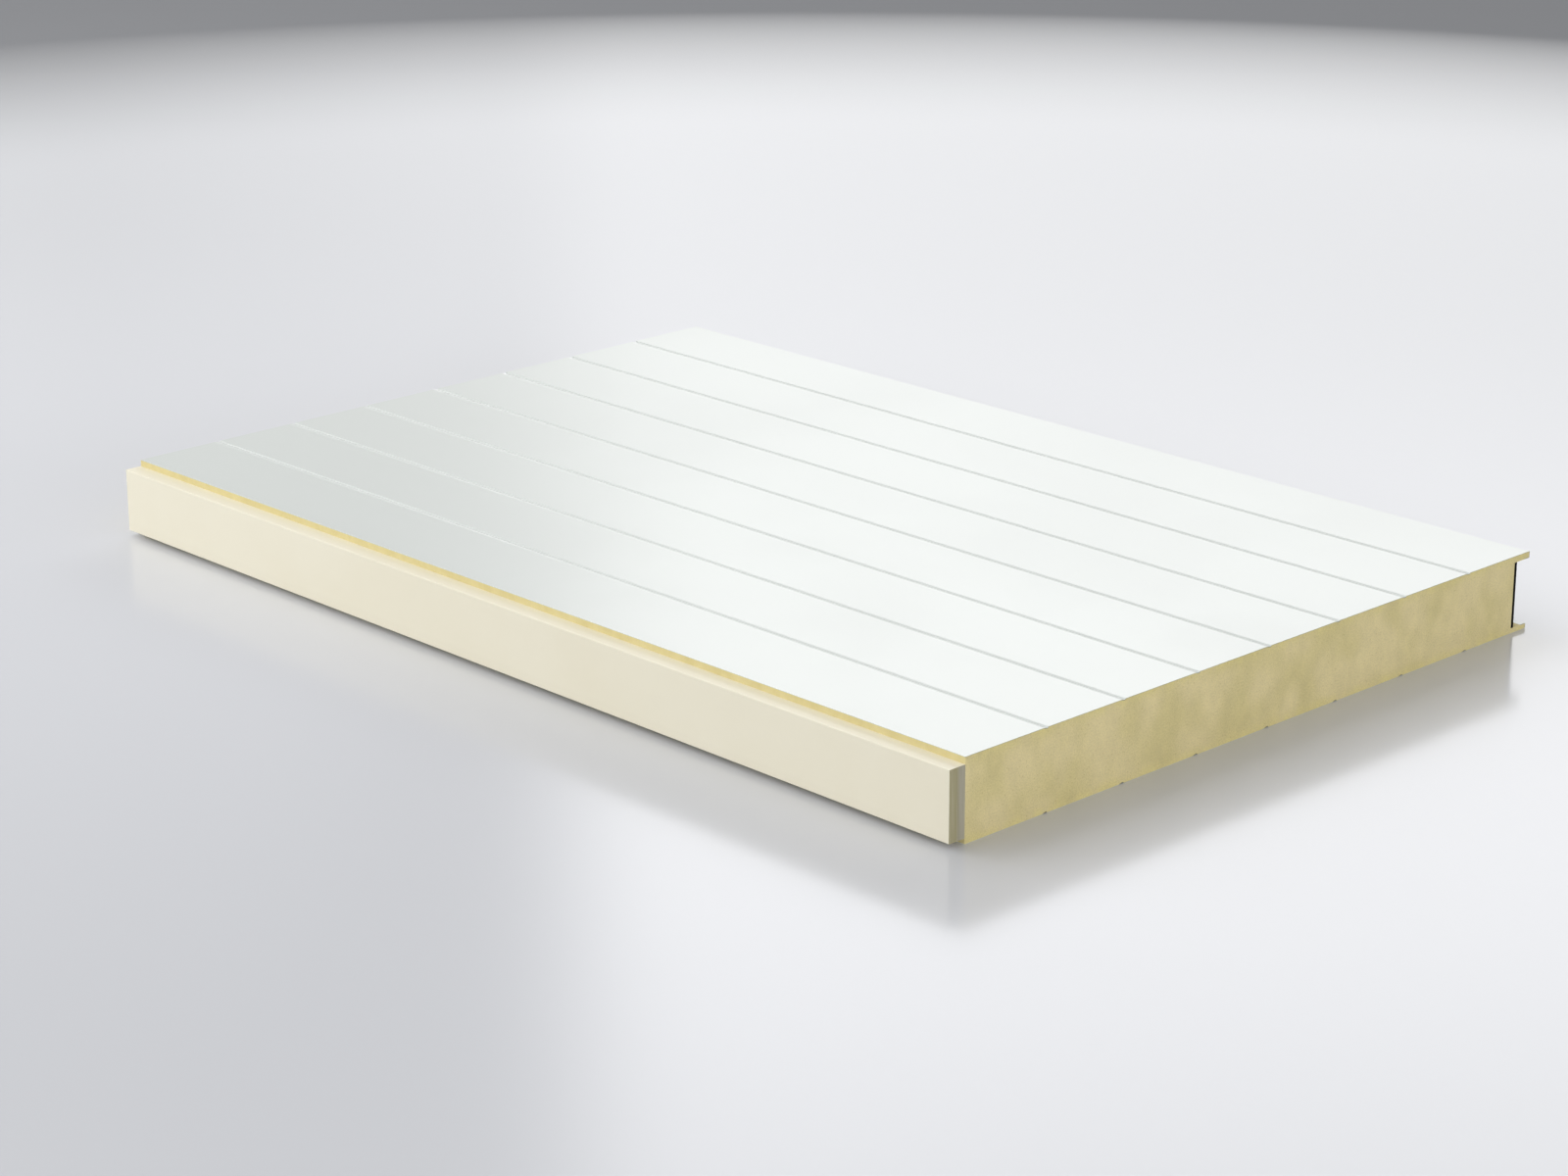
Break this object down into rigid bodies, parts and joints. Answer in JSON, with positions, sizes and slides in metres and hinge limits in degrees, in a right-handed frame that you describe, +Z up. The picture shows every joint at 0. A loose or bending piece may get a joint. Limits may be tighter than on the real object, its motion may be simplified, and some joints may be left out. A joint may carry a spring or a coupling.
{
  "type": "insulated sandwich panel",
  "caption": "Flat insulated panel: foam core between two white steel sheets with fine rolled lines, a cream tongue on one long side and a groove with a black seal on the other.",
  "frame": {"origin": "under the middle of the panel, on the plane that it lies on", "axes": "+X across the panel from the tongue to the groove, +Y along the panel, +Z up through its thickness"},
  "size_m": [1.024, 1.515, 0.1],
  "materials": {
    "sheet_paint": "smooth semi-gloss white paint",
    "foam": "matt sawn foam with fine cells",
    "tongue_cream": "smooth matt cream",
    "seal_rubber": "matt black"
  },
  "bodies": {
    "root": {"top_sheet": "sheet_paint", "bottom_sheet": "sheet_paint", "foam_core": "foam", "tongue": "tongue_cream", "joint_seal": "seal_rubber"}
  },
  "joints": []
}
